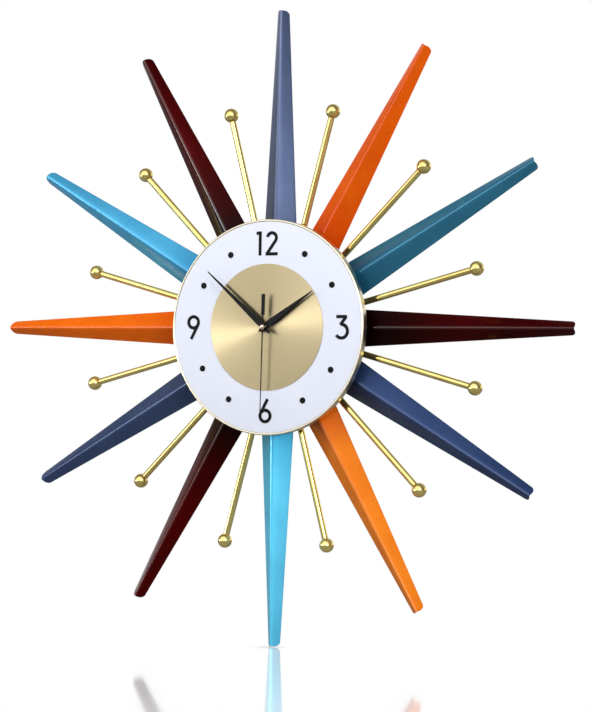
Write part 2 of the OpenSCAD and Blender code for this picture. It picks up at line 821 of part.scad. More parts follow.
if (shown("centre_wheel")) centre_wheel();
if (shown("seconds_wheel")) seconds_wheel();
if (shown("third_wheel")) third_wheel();
if (shown("intermediate_wheel")) intermediate_wheel();
if (shown("rotor")) rotor();
if (shown("minute_wheel")) minute_wheel();
if (shown("set_knob")) set_knob();
if (shown("stator")) stator();
if (shown("coil")) coil();
if (shown("circuit_board")) circuit_board();
if (shown("battery")) battery();
if (shown("battery_contacts")) battery_contacts();
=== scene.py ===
import math
import bmesh
import bpy
import numpy as np
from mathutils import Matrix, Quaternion, Vector


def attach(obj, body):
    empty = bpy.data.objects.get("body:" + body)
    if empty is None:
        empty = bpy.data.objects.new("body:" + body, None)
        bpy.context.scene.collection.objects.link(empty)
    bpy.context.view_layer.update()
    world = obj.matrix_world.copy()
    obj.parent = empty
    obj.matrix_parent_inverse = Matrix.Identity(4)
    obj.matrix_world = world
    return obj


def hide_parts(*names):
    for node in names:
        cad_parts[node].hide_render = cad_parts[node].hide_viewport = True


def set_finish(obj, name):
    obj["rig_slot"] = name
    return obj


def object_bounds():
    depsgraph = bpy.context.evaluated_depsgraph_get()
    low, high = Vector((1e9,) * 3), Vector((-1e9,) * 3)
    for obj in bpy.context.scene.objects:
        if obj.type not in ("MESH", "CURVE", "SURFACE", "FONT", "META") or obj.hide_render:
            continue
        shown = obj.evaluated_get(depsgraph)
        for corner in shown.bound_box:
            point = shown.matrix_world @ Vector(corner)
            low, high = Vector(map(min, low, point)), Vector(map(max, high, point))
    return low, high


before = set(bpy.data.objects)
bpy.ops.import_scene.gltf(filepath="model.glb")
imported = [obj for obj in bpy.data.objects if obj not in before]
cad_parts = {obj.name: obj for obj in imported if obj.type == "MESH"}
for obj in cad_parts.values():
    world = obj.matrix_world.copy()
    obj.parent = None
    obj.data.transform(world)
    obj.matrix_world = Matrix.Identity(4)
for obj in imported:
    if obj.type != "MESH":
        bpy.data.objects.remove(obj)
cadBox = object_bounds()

print("frame loaded")

# Points are worked out in clock coordinates in millimetres: x to the right, y up and h out from
# the wall. intoFrame turns them into metres in the frame, where the clock faces -Y.
mm = 0.001


def intoFrame(points):
    # (x, y, h) in mm becomes (x, -h, y) in metres
    return np.stack([points[..., 0], -points[..., 2], points[..., 1]], -1) * mm


def clockwise(points, degrees):
    # turns points round the hands' axis, clockwise as the viewer sees it
    c, s = math.cos(math.radians(degrees)), math.sin(math.radians(degrees))
    x, y, h = np.moveaxis(points, -1, 0)
    return np.stack([x * c + y * s, y * c - x * s, h], -1)


def shifted(points, x=0.0, y=0.0, h=0.0):
    return points + np.array([x, y, h])


def sweepAngles(count):
    return np.arange(count) * 2 * np.pi / count


def gridFaces(rows, columns, closedRows, closedColumns):
    # quads between neighbours of a rows by columns grid, joined end to end where it is closed
    index = np.arange(rows * columns).reshape(rows, columns)
    if closedRows:
        index = np.concatenate([index, index[:1]])
    if closedColumns:
        index = np.concatenate([index, index[:, :1]], axis=1)
    corners = [index[:-1, :-1], index[1:, :-1], index[1:, 1:], index[:-1, 1:]]
    return np.stack(corners, -1).reshape(-1, 4)


def gridUv(rows, columns, closedRows, closedColumns, size):
    # UV of each quad's corners: the share of the way along rows and columns, times size
    u = np.arange(rows + closedRows) / (rows - 1 + closedRows) * size[0]
    v = np.arange(columns + closedColumns) / (columns - 1 + closedColumns) * size[1]
    uv = np.stack(np.meshgrid(u, v, indexing="ij"), -1)
    corners = [uv[:-1, :-1], uv[1:, :-1], uv[1:, 1:], uv[:-1, 1:]]
    return np.stack(corners, -2).reshape(-1, 2)


def closedSurface(points, closedRows=False, closedColumns=True, size=(1, 1), uv=None):
    # one shell from a grid of points; its faces are turned outwards by the sign of its volume,
    # a sixth of the sum of a . (b x c) over its triangles
    rows, columns = points.shape[:2]
    faces = gridFaces(rows, columns, closedRows, closedColumns)
    flat = points.reshape(-1, 3)
    if uv is None:
        loops = gridUv(rows, columns, closedRows, closedColumns, size)
    else:
        loops = uv.reshape(-1, 2)[faces.ravel()]
    a, b, c, d = (flat[faces[:, k]] for k in range(4))
    volume = np.einsum("ij,ij->", a, np.cross(b, c)) + np.einsum("ij,ij->", a, np.cross(c, d))
    if volume < 0:
        faces = faces[:, ::-1]
        loops = loops.reshape(-1, 4, 2)[:, ::-1].reshape(-1, 2)
    return flat, faces, loops


def makePiece(name, shells, slot, stands=(), body="clock", sharp=35, paint=None):
    # joins shells into one mesh, welds seams and poles, and lets it ride on its body; it wears
    # the finish of its slot unless it has a paint of its own
    starts = np.cumsum([0] + [len(s[0]) for s in shells])
    vertices = intoFrame(np.concatenate([s[0] for s in shells]))
    faces = np.concatenate([s[1] + start for s, start in zip(shells, starts)])
    mesh = bpy.data.meshes.new(name)
    mesh.vertices.add(len(vertices))
    mesh.vertices.foreach_set("co", vertices.astype(np.float32).ravel())
    mesh.loops.add(faces.size)
    mesh.loops.foreach_set("vertex_index", faces.astype(np.int32).ravel())
    mesh.polygons.add(len(faces))
    mesh.polygons.foreach_set("loop_start", np.arange(0, faces.size, 4, dtype=np.int32))
    uvLayer = mesh.uv_layers.new(name="surface")
    uvLayer.data.foreach_set("uv", np.concatenate([s[2] for s in shells]).astype(np.float32).ravel())
    mesh.update(calc_edges=True)
    bm = bmesh.new()
    bm.from_mesh(mesh)
    bmesh.ops.remove_doubles(bm, verts=bm.verts, dist=1e-6)
    bmesh.ops.dissolve_degenerate(bm, edges=bm.edges, dist=1e-7)
    bm.to_mesh(mesh)
    bm.free()
    mesh.shade_smooth()
    mesh.set_sharp_from_angle(angle=math.radians(sharp))
    mesh.materials.append(paint or finishes[slot])
    piece = bpy.data.objects.new(name, mesh)
    bpy.context.scene.collection.objects.link(piece)
    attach(piece, body)
    if stands:
        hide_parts(*stands)
    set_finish(piece, slot)


def roundedProfile(corners, radius, steps=4):
    # profile through corners, each rounded by a quadratic curve that starts and ends up to
    # radius away from it; the first and last corners stay sharp
    corners = np.array(corners, float)
    points = [corners[0]]
    for before, corner, after in zip(corners[:-2], corners[1:-1], corners[2:]):
        toBefore, toAfter = before - corner, after - corner
        cut = min(radius, np.linalg.norm(toBefore) / 2.1, np.linalg.norm(toAfter) / 2.1)
        start = corner + toBefore / np.linalg.norm(toBefore) * cut
        end = corner + toAfter / np.linalg.norm(toAfter) * cut
        t = np.linspace(0, 1, steps + 1)[:, None]
        points += list((1 - t) ** 2 * start + 2 * t * (1 - t) * corner + t ** 2 * end)
    points.append(corners[-1])
    return np.array(points)


def closedProfile(corners, radius, steps=4):
    # the same for a closed outline, so that every corner is rounded
    corners = [list(c) for c in corners]
    wrapped = roundedProfile([corners[-1]] + corners + [corners[0]], radius, steps)
    return wrapped[1:-1]


def turned(profile, segments=96, closed=False, centre=(0, 0)):
    # (radius, height) profile carried round the hands' axis: (r sin a, r cos a, h)
    angle = sweepAngles(segments)[None, :]
    r, h = profile[:, 0][:, None], profile[:, 1][:, None]
    points = np.stack([r * np.sin(angle), r * np.cos(angle), h + 0 * angle], -1)
    reach = profile[:, 0].max() * 2 * np.pi
    return closedSurface(shifted(points, *centre), closedRows=closed, size=(reach / 3, reach))


def roundedRectangle(width, length, radius, steps=6):
    # outline of a width by length rectangle about (0, 0) with quarter-circle corners
    angle = np.linspace(0, np.pi / 2, steps + 1)
    quarter = np.stack([np.cos(angle), np.sin(angle)], -1) * radius
    inner = np.array([width / 2 - radius, length / 2 - radius])
    sides = [(1, 1, False), (-1, 1, True), (-1, -1, False), (1, -1, True)]
    parts = [(quarter[::-1] if flip else quarter) * [sx, sy] + inner * [sx, sy]
             for sx, sy, flip in sides]
    return np.concatenate(parts)


def slab(outline, low, high, edge=0.25, steps=3):
    # plate over a closed convex outline: rings of it, drawn in by edge (1 - sin a) at the rounded
    # rims, between a pole in the middle of each face
    ahead = np.roll(outline, -1, 0) - np.roll(outline, 1, 0)
    inwards = np.stack([-ahead[:, 1], ahead[:, 0]], -1)
    inwards /= np.linalg.norm(inwards, axis=1)[:, None]
    centre = outline.mean(0)
    if np.einsum("ij,ij->", inwards, centre - outline) < 0:
        inwards = -inwards
    a = np.linspace(0, np.pi / 2, steps + 1)
    drawn = np.concatenate([edge * (1 - np.sin(a)), edge * (1 - np.cos(a))])
    height = np.concatenate([low + edge * (1 - np.cos(a)), high - edge * (1 - np.sin(a))])
    rings = outline[None] + inwards[None] * drawn[:, None, None]
    rings = np.concatenate([centre + 0 * rings[:1], rings, centre + 0 * rings[:1]])
    height = np.concatenate([[low], height, [high]])
    points = np.concatenate([rings, np.broadcast_to(height[:, None, None], rings.shape[:2] + (1,))], -1)
    return closedSurface(points)


# ---- shader helpers ----

def addNode(tree, kind, values=None, settings=None, links=None):
    node = tree.nodes.new(kind)
    for key, value in (settings or {}).items():
        setattr(node, key, value)
    for key, value in (values or {}).items():
        node.inputs[key].default_value = value
    for key, source in (links or {}).items():
        tree.links.new(source, node.inputs[key])
    return node


def newGroup(name, inputs, outputs):
    tree = bpy.data.node_groups.new(name, "ShaderNodeTree")
    for label, kind, value in inputs:
        socket = tree.interface.new_socket(label, in_out="INPUT", socket_type=kind)
        if value is not None:
            socket.default_value = value
    for label, kind in outputs:
        tree.interface.new_socket(label, in_out="OUTPUT", socket_type=kind)
    return tree, tree.nodes.new("NodeGroupInput"), tree.nodes.new("NodeGroupOutput")


number, colour, vector = "NodeSocketFloat", "NodeSocketColor", "NodeSocketVector"


def mottleGroup():
    # colour that drifts between two shades with a soft noise
    tree, given, out = newGroup("mottle", [
        ("Vector", vector, None), ("Scale", number, 60.0), ("Detail", number, 3.0),
        ("Low", number, 0.4), ("High", number, 0.6),
        ("Colour", colour, None), ("Shade", colour, None)], [("Colour", colour)])
    noise = addNode(tree, "ShaderNodeTexNoise", {"Roughness": 0.55}, links={
        "Vector": given.outputs["Vector"], "Scale": given.outputs["Scale"],
        "Detail": given.outputs["Detail"]})
    spread = addNode(tree, "ShaderNodeMapRange", settings={"interpolation_type": "SMOOTHSTEP"}, links={
        "Value": noise.outputs["Fac"], "From Min": given.outputs["Low"],
        "From Max": given.outputs["High"]})
    blend = addNode(tree, "ShaderNodeMix", settings={"data_type": "RGBA"}, links={
        "Factor": spread.outputs["Result"], 6: given.outputs["Colour"], 7: given.outputs["Shade"]})
    tree.links.new(blend.outputs[2], out.inputs["Colour"])
    return tree


def reliefGroup():
    # height of a fine even roughness, such as orange peel or a moulded texture
    tree, given, out = newGroup("relief", [
        ("Vector", vector, None), ("Scale", number, 900.0), ("Detail", number, 2.0)],
        [("Height", number)])
    noise = addNode(tree, "ShaderNodeTexNoise", {"Roughness": 0.5}, links={
        "Vector": given.outputs["Vector"], "Scale": given.outputs["Scale"],
        "Detail": given.outputs["Detail"]})
    tree.links.new(noise.outputs["Fac"], out.inputs["Height"])
    return tree


def toolLinesGroup():
    # fine lines left by drawing or turning: noise stretched along the first UV direction
    tree, given, out = newGroup("toolLines", [
        ("Vector", vector, None), ("Along", number, 2.0), ("Across", number, 400.0),
        ("Low", number, 0.0), ("High", number, 1.0)], [("Value", number)])
    stretch = addNode(tree, "ShaderNodeCombineXYZ", {"Z": 1.0}, links={
        "X": given.outputs["Along"], "Y": given.outputs["Across"]})
    scaled = addNode(tree, "ShaderNodeVectorMath", settings={"operation": "MULTIPLY"}, links={
        0: given.outputs["Vector"], 1: stretch.outputs["Vector"]})
    noise = addNode(tree, "ShaderNodeTexNoise", {"Scale": 1.0, "Detail": 3.0, "Roughness": 0.6},
                    links={"Vector": scaled.outputs["Vector"]})
    ranged = addNode(tree, "ShaderNodeMapRange", {"From Min": 0.3, "From Max": 0.7}, links={
        "Value": noise.outputs["Fac"], "To Min": given.outputs["Low"],
        "To Max": given.outputs["High"]})
    tree.links.new(ranged.outputs["Result"], out.inputs["Value"])
    return tree


def ringLinesGroup():
    # concentric turning lines about the hands' axis, by the distance sqrt(x^2 + z^2) from it
    tree, given, out = newGroup("ringLines", [
        ("Vector", vector, None), ("Pitch", number, 900.0), ("Low", number, 0.0),
        ("High", number, 1.0)], [("Value", number)])
    split = addNode(tree, "ShaderNodeSeparateXYZ", links={"Vector": given.outputs["Vector"]})
    flat = addNode(tree, "ShaderNodeCombineXYZ", links={
        "X": split.outputs["X"], "Y": split.outputs["Z"]})
    length = addNode(tree, "ShaderNodeVectorMath", settings={"operation": "LENGTH"}, links={
        0: flat.outputs["Vector"]})
    scaled = addNode(tree, "ShaderNodeMath", settings={"operation": "MULTIPLY"}, links={
        0: length.outputs["Value"], 1: given.outputs["Pitch"]})
    noise = addNode(tree, "ShaderNodeTexNoise", {"Scale": 1.0, "Detail": 4.0, "Roughness": 0.7},
                    settings={"noise_dimensions": "1D"}, links={"W": scaled.outputs["Value"]})
    ranged = addNode(tree, "ShaderNodeMapRange", {"From Min": 0.25, "From Max": 0.75}, links={
        "Value": noise.outputs["Fac"], "To Min": given.outputs["Low"],
        "To Max": given.outputs["High"]})
    tree.links.new(ranged.outputs["Result"], out.inputs["Value"])
    return tree


mottle, relief, toolLines, ringLines = mottleGroup(), reliefGroup(), toolLinesGroup(), ringLinesGroup()


def useGroup(tree, group, values=None, links=None):
    return addNode(tree, "ShaderNodeGroup", values, {"node_tree": group}, links)


def rgba(red, green, blue):
    return (red, green, blue, 1)


def grey(level):
    return (level, level, level, 1)


def ramp(tree, value, low, high, toLow=0.0, toHigh=1.0):
    # smooth step from toLow where value is low to toHigh where it is high
    node = addNode(tree, "ShaderNodeMapRange", {"From Min": low, "From Max": high, "To Min": toLow,
                                                "To Max": toHigh},
                   {"interpolation_type": "SMOOTHSTEP"}, {"Value": value})
    return node.outputs["Result"]


def maths(tree, operation, first, second):
    # a Math node over two sockets or plain numbers
    node = addNode(tree, "ShaderNodeMath", settings={"operation": operation})
    for index, given in enumerate((first, second)):
        if isinstance(given, (int, float)):
            node.inputs[index].default_value = given
        else:
            tree.links.new(given, node.inputs[index])
    return node.outputs["Value"]


def startMaterial(name, values):
    # a Principled material with its own constant sockets set, and the coordinates it can read
    material = bpy.data.materials.new(name)
    material.use_nodes = True
    tree = material.node_tree
    shader = tree.nodes["Principled BSDF"]
    for key, value in values.items():
        shader.inputs[key].default_value = value
    place = tree.nodes.new("ShaderNodeTexCoord")
    return material, tree, shader, place.outputs["Object"], place.outputs["UV"]


def drifting(tree, place, socket, scale, first, second):
    # feeds socket with a colour that drifts between two others
    group = useGroup(tree, mottle, {"Scale": scale, "Low": 0.3, "High": 0.7, "Colour": first,
                                    "Shade": second}, {"Vector": place})
    tree.links.new(group.outputs["Colour"], socket)


def addBump(tree, shader, height, strength, distance):
    bump = addNode(tree, "ShaderNodeBump", {"Strength": strength, "Distance": distance},
                   links={"Height": height})
    tree.links.new(bump.outputs["Normal"], shader.inputs["Normal"])


def lacquer(name, paint, shade, rootShade, metallic, roughness, rootShadeFrom, rootShadeTo, specular,
            coatFacing, coatGrazing):
    # sprayed lacquer: it drifts between paint and shade, and from the outer root radius in to the
    # inner one it turns to the root colour, a painted shade where the dial overhangs the ray; all
    # under a clear coat with fine orange peel that shows most at grazing angles and along the fold
    material, tree, shader, place, uv = startMaterial(name, {
        "Metallic": metallic, "Coat Roughness": 0.08, "Coat IOR": 1.5,
        "Specular IOR Level": specular})
    drift = useGroup(tree, mottle, {"Scale": 22.0, "Low": 0.35, "High": 0.65, "Colour": paint,
                                    "Shade": shade}, {"Vector": place})
    radius = addNode(tree, "ShaderNodeSeparateXYZ", links={"Vector": uv})
    # painted shade: the colour darkens to the root colour towards the dial
    blend = addNode(tree, "ShaderNodeMix", {7: rootShade}, {"data_type": "RGBA"}, {
        "Factor": ramp(tree, radius.outputs["Y"], rootShadeFrom, rootShadeTo), 6: drift.outputs["Colour"]})
    tree.links.new(blend.outputs[2], shader.inputs["Base Color"])
    drifting(tree, place, shader.inputs["Roughness"], 2600.0, grey(roughness - 0.02),
             grey(roughness + 0.03))
    facing = addNode(tree, "ShaderNodeLayerWeight", {"Blend": 0.5})
    grazing = ramp(tree, facing.outputs["Facing"], 0.35, 0.75, coatFacing, coatGrazing)
    crest = maths(tree, "ABSOLUTE", radius.outputs["X"], 0.0)
    crest = ramp(tree, crest, 0.0022, 0.0005)
    tree.links.new(maths(tree, "MAXIMUM", grazing, crest), shader.inputs["Coat Weight"])
    peel = useGroup(tree, relief, {"Scale": 700.0}, {"Vector": place})
    addBump(tree, shader, peel.outputs["Height"], 0.014, 0.0002)
    return material


def metal(name, tint, shade, roughLow, roughHigh, along, across, grain=0.05, metallic=1.0,
          anisotropy=0.0):
    # metal whose roughness follows fine tool lines along the piece
    material, tree, shader, place, uv = startMaterial(name, {
        "Metallic": metallic, "Anisotropic": anisotropy})
    drifting(tree, place, shader.inputs["Base Color"], 45.0, tint, shade)
    lines = useGroup(tree, toolLines, {"Along": along, "Across": across, "Low": roughLow,
                                       "High": roughHigh}, {"Vector": uv})
    tree.links.new(lines.outputs["Value"], shader.inputs["Roughness"])
    addBump(tree, shader, lines.outputs["Value"], grain, 0.0002)
    return material


def moulded(name, tint, shade, roughness, scale, depth, speckle=60.0, sheen=0.0, specular=0.5):
    # moulded or coated surface: even texture, slight drift in tone, roughness that varies a little
    material, tree, shader, place, uv = startMaterial(name, {
        "Sheen Weight": sheen, "Specular IOR Level": specular})
    drifting(tree, place, shader.inputs["Base Color"], speckle, tint, shade)
    drifting(tree, place, shader.inputs["Roughness"], 180.0, grey(roughness - 0.06),
             grey(roughness + 0.06))
    surface = useGroup(tree, relief, {"Scale": scale, "Detail": 3.0}, {"Vector": place})
    addBump(tree, shader, surface.outputs["Height"], depth, 0.0003)
    return material


def spunMetal(name, tint, shade, roughLow, roughHigh, pitch, anisotropy, grain):
    # metal turned on a lathe: rings about the axis spread the light into bright wedges
    material, tree, shader, place, uv = startMaterial(name, {
        "Metallic": 1.0, "Anisotropic": anisotropy, "Anisotropic Rotation": 0.25})
    rings = useGroup(tree, ringLines, {"Pitch": pitch, "Low": 0.0, "High": 1.0}, {"Vector": place})
    blend = addNode(tree, "ShaderNodeMix", {6: tint, 7: shade}, {"data_type": "RGBA"}, {
        "Factor": rings.outputs["Value"]})
    tree.links.new(blend.outputs[2], shader.inputs["Base Color"])
    rough = addNode(tree, "ShaderNodeMapRange", {"To Min": roughLow, "To Max": roughHigh}, links={
        "Value": rings.outputs["Value"]})
    tree.links.new(rough.outputs["Result"], shader.inputs["Roughness"])
    addBump(tree, shader, rings.outputs["Value"], grain, 0.0001)
    tangent = addNode(tree, "ShaderNodeTangent", settings={"direction_type": "RADIAL", "axis": "Y"})
    tree.links.new(tangent.outputs["Tangent"], shader.inputs["Tangent"])
    return material


# ---- finishes ----

paints = {
    # paint, shade and root colour, which is painted shade near the dial; metallic; roughness; radii where
    # that painted shade begins and is full; specular; coat weights
    "orange_lacquer": ((0.80, 0.13, 0.004), (0.74, 0.11, 0.003), (0.72, 0.08, 0.002), 0.1, 0.32,
                       0.16, 0.10, 0.05, 0.12, 0.2),
    "sky_lacquer": ((0.08, 0.50, 0.82), (0.07, 0.45, 0.76), (0.04, 0.34, 0.62), 0.5, 0.3,
                    0.17, 0.10, 0.05, 0.4, 0.7),
    "red_lacquer": ((0.072, 0.0002, 0.0006), (0.052, 0.0002, 0.0005), (0.010, 0.0001, 0.0003), 0.4,
                    0.3, 0.20, 0.10, 0.02, 0.1, 0.55),
    "slate_lacquer": ((0.085, 0.12, 0.25), (0.075, 0.108, 0.23), (0.06, 0.09, 0.19), 0.6, 0.36,
                      0.15, 0.10, 0.05, 0.1, 0.04),
    "black_lacquer": ((0.004, 0.004, 0.005), (0.007, 0.006, 0.007), (0.004, 0.004, 0.005), 0.0, 0.3,
                      9.0, 8.0, 0.1, 0.02, 0.2),
}


def sprayed(finish, name, paintedLightShare=(1, 1, 1)):
    # the paint of a finish with its colours multiplied by a share, which for a ray paints in the light
    # and shade that fall on it
    recipe = paints[finish]
    colours = [rgba(*[min(c * k, 1) for c, k in zip(tone, paintedLightShare)]) for tone in recipe[:3]]
    return lacquer(name, *colours, *recipe[3:])


finishes = {finish: sprayed(finish, finish.title().replace("_", "")) for finish in paints}
finishes.update({
    "polished_brass": metal("polishedBrass", rgba(0.96, 0.79, 0.29), rgba(0.85, 0.65, 0.21),
                            0.07, 0.13, 3.0, 500.0, 0.008, 0.93),
    "black_powder_coat": moulded("blackPowderCoat", rgba(0.022, 0.022, 0.024),
                                 rgba(0.03, 0.03, 0.032), 0.55, 1500.0, 0.35),
    "zinc_steel": metal("zincSteel", rgba(0.62, 0.63, 0.64), rgba(0.5, 0.52, 0.55), 0.24, 0.42,
                        30.0, 240.0, 0.12),
    "black_rubber": moulded("blackRubber", rgba(0.02, 0.02, 0.02), rgba(0.032, 0.031, 0.03), 0.72,
                            2200.0, 0.25, sheen=0.1),
    "black_stained_board": moulded("blackStainedBoard", rgba(0.02, 0.018, 0.017),
                                   rgba(0.035, 0.031, 0.028), 0.66, 1100.0, 0.4, 260.0),
    "champagne_gold": spunMetal("champagneGold", rgba(0.86, 0.80, 0.62), rgba(0.80, 0.72, 0.54),
                                0.24, 0.36, 2500.0, 0.3, 0.05),
    "white_enamel": moulded("whiteEnamel", rgba(0.78, 0.81, 0.92), rgba(0.77, 0.80, 0.91), 0.42,
                            2400.0, 0.03),
    "spun_gold": spunMetal("spunGold", rgba(0.565, 0.475, 0.29), rgba(0.50, 0.41, 0.24), 0.36, 0.48,
                           3200.0, 0.9, 0.05),
    "black_print": moulded("blackPrint", rgba(0.003, 0.003, 0.004), rgba(0.005, 0.005, 0.006), 0.5,
                           3000.0, 0.1, specular=0.12),
    "turned_brass": spunMetal("turnedBrass", rgba(0.72, 0.56, 0.28), rgba(0.62, 0.47, 0.22), 0.2,
                              0.36, 9000.0, 0.5, 0.08),
    "rose_brass": spunMetal("roseBrass", rgba(0.92, 0.70, 0.58), rgba(0.85, 0.62, 0.5), 0.12, 0.2,
                            9000.0, 0.3, 0.03),
    "black_abs": moulded("blackAbs", rgba(0.016, 0.016, 0.017), rgba(0.022, 0.022, 0.023), 0.48,
                         1900.0, 0.22),
    "white_nylon": moulded("whiteNylon", rgba(0.66, 0.65, 0.60), rgba(0.6, 0.59, 0.54), 0.4,
                           1500.0, 0.1),
    "dark_magnet": metal("darkMagnet", rgba(0.16, 0.16, 0.17), rgba(0.11, 0.11, 0.12), 0.3, 0.45,
                         40.0, 300.0, 0.1),
    "motor_iron": metal("motorIron", rgba(0.42, 0.42, 0.43), rgba(0.34, 0.34, 0.36), 0.3, 0.5,
                        60.0, 300.0, 0.1),
    "copper_wire": metal("copperWire", rgba(0.75, 0.28, 0.12), rgba(0.6, 0.2, 0.08), 0.22, 0.35,
                         900.0, 20.0, 0.3),
    "green_board": moulded("greenBoard", rgba(0.01, 0.12, 0.04), rgba(0.008, 0.09, 0.03), 0.35,
                           900.0, 0.1),
    "battery_wrap": moulded("batteryWrap", rgba(0.18, 0.19, 0.2), rgba(0.14, 0.15, 0.16), 0.3,
                            1200.0, 0.05),
})
for nodeName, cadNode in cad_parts.items():
    slotName = cadNode.data.materials[0].name
    cadNode.data.materials[0] = finishes[slotName]
    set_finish(cadNode, slotName)
print("finishes made")

# ---- rays ----

rays = {
    "tipRadius": 325.0, "rootRadius": 92.0,
    "tipWidth": 13.6, "taper": 0.106,          # width gained for each mm towards the dial
    "tipRise": 8.0, "rootRise": 12.9,
    "edgeHeight": 6.5, "sheet": 1.0, "foldRound": 2.0, "corner": 4.5, "cut": 0.7,
    "footWidth": 17.0, "footFrom": 75.0, "footTo": 100.0, "footThickness": 1.5, "footCorner": 2.5,
    "barWidth": 34.0, "barLength": 7.5, "barCorner": 2.0, "barLift": 0.25,
    # the feet take the root colour, which is painted shade near the dial
    "footPaintAt": 0.09,                       # UV of the feet, which picks the root colour
    "finishes": ["orange_lacquer", "sky_lacquer", "red_lacquer", "slate_lacquer"],
    # each ray's colours are multiplied by its share, which paints in the light and shade that fall on
    # that ray, so some are a little lighter or deeper than their colour
    "paintedLightShares": {1: (0.95, 0.8, 0.3), 2: (0.45, 0.44, 0.44), 3: (0.7, 0.3, 0.5), 4: (0.45, 0.6, 0.75),
               5: (0.97, 1.55, 2.6), 6: (1.6, 1.36, 1.22), 7: (1.1, 0.5, 0.5), 8: (0.75, 0.85, 0.9),
               9: (1.1, 1.2, 1.0), 10: (1.05, 0.95, 0.97), 11: (0.95, 0.5, 0.7), 12: (0.98, 0.94, 0.84)},
}


def raySurface(s):
    # A folded sheet: at distance b back from the tip its width is w(b) and its rise z(b), and its
    # outside stands at height apex - slope * sqrt(x^2 + c^2) over the edges. The middle of the
    # sheet lies half its thickness below that, and the surface is the middle plus and minus half
    # the thickness along the normal, which dies away in a half circle at every border.
    half = s["sheet"] / 2
    span = s["tipRadius"] - s["rootRadius"]
    a = np.linspace(0, np.pi / 2, 6)
    rounding = half * (1 - np.cos(a))
    corner = s["corner"] * (1 - np.cos(np.linspace(0.15, np.pi / 2, 10)))
    back = np.unique(np.concatenate([rounding, corner, np.linspace(s["corner"], span - half, 44),
                                     span - rounding]).round(6))[:, None]
    width = s["tipWidth"] + s["taper"] * back
    rise = s["tipRise"] + (s["rootRise"] - s["tipRise"]) * back / span
    nearTip = np.clip(1 - back / s["corner"], 0, 1)
    cut = s["cut"] * (1 - np.sqrt(1 - nearTip ** 2))
    reach = width / 2 * (1 - cut) + 1.2 * cut
    # positions across from edge to edge: fine at both edges and over the fold
    edgeShare = np.linspace(0, np.pi / 2, 6)[:-1]
    flank = np.linspace(0, 1, 9)[:, None].T
    innerX = 3.0
    fine = reach - half * 0.8 * (1 - np.cos(edgeShare))[None, :]
    flat = (reach - half * 0.8) + (innerX - reach + half * 0.8) * flank
    fold = np.linspace(innerX, 0, 11)[None, 1:] + 0 * reach
    right = np.concatenate([fine, flat, fold], axis=1)
    x = np.concatenate([right, -right[:, -2::-1]], axis=1)
    c = s["foldRound"]
    slope = 2 * rise / (np.sqrt(width ** 2 + 4 * c * c) - 2 * c)
    apex = rise + slope * c
    rooted = np.sqrt(x * x + c * c)
    z = apex - slope * rooted
    tilt = slope * x / rooted
    normal = np.stack([tilt, np.ones_like(tilt)], -1) / np.sqrt(1 + tilt ** 2)[..., None]
    toEdge = np.clip((reach - np.abs(x)) / (half * 0.8), 0, 1)
    toEnd = np.clip(np.minimum(back, span - back) / half, 0, 1)
    thick = half * np.sqrt(1 - (1 - toEdge) ** 2) * np.sqrt(1 - (1 - toEnd) ** 2)
    middle = np.stack([x, z], -1) - half * normal
    outside = middle + thick[..., None] * normal
    inside = middle - thick[..., None] * normal
    section = np.concatenate([outside, inside[:, -2:0:-1]], axis=1)
    y = np.broadcast_to(s["tipRadius"] - back, section.shape[:2])
    points = np.stack([section[..., 0], y, section[..., 1] + s["edgeHeight"]], -1)
    uv = np.stack([section[..., 0] * mm, y * mm], -1)
    return points, uv


rayGrid, rayUv = raySurface(rays)
stem = roundedRectangle(rays["footWidth"], rays["footTo"] - rays["footFrom"], rays["footCorner"])
stem = stem + [0, (rays["footTo"] + rays["footFrom"]) / 2]
bar = roundedRectangle(rays["barWidth"], rays["barLength"], rays["barCorner"])
bar = bar + [0, rays["footTo"] - rays["barLength"] / 2]
footLow = rays["edgeHeight"] - rays["footThickness"]
for hour in range(1, 13):
    angle = hour * 30
    shell = closedSurface(clockwise(rayGrid, angle), uv=rayUv)
    feet = [slab(stem, footLow, rays["edgeHeight"]),
            slab(bar, footLow, rays["edgeHeight"] + rays["barLift"])]
    turnedFeet = [(clockwise(p, angle), f, l * 0 + rays["footPaintAt"]) for p, f, l in feet]
    finish = rays["finishes"][(hour - 1) % 4]
    # painted light and shade: the ray's colours are scaled by its share
    paint = sprayed(finish, f"{finish}_{hour:02d}", rays["paintedLightShares"][hour])
    makePiece(f"folded_ray_{hour:02d}", [shell] + turnedFeet, finish, stands=[f"ray_{hour:02d}"],
              sharp=50, paint=paint)
print("rays folded")

# ---- rods and balls ----

rods = {
    "radius": 3.3, "rootRadius": 70.0, "axisHeight": 8.0, "flatHeight": 5.0, "flatTo": 96.0,
    "ballRadius": 7.4, "ballRing": 227.5, "segments": 40, "offset": 0.5,
    "rodUv": (0.15, 0.0207), "ballUv": (0.023, 0.046),
}


def rodSurface(s):
    # round bar: (R cos a, along, height + R sin a), with everything under the flat lifted onto it
    seat = s["ballRing"] - math.sqrt(s["ballRadius"] ** 2 - s["radius"] ** 2)
    profile = roundedProfile([(0, s["rootRadius"]), (s["radius"], s["rootRadius"]),
                              (s["radius"], s["flatTo"] - 0.01)], 0.5)
    body = np.array([[s["radius"], y] for y in np.linspace(s["flatTo"] + 0.01, seat - 1.2, 30)])
    neck = roundedProfile([(s["radius"], seat - 1.1), (s["radius"], seat - 0.35),
                           (s["radius"] - 0.35, seat + 0.1), (s["radius"] - 0.35, seat + 3),
                           (0, seat + 3)], 0.3)
    profile = np.concatenate([profile, body, neck])
    angle = sweepAngles(s["segments"])[None, :]
    r, y = profile[:, 0][:, None], profile[:, 1][:, None] + 0 * angle
    h = s["axisHeight"] + r * np.sin(angle)
    h = np.where(y < s["flatTo"], np.maximum(h, s["flatHeight"]), h)
    return np.stack([r * np.cos(angle), y, h], -1)


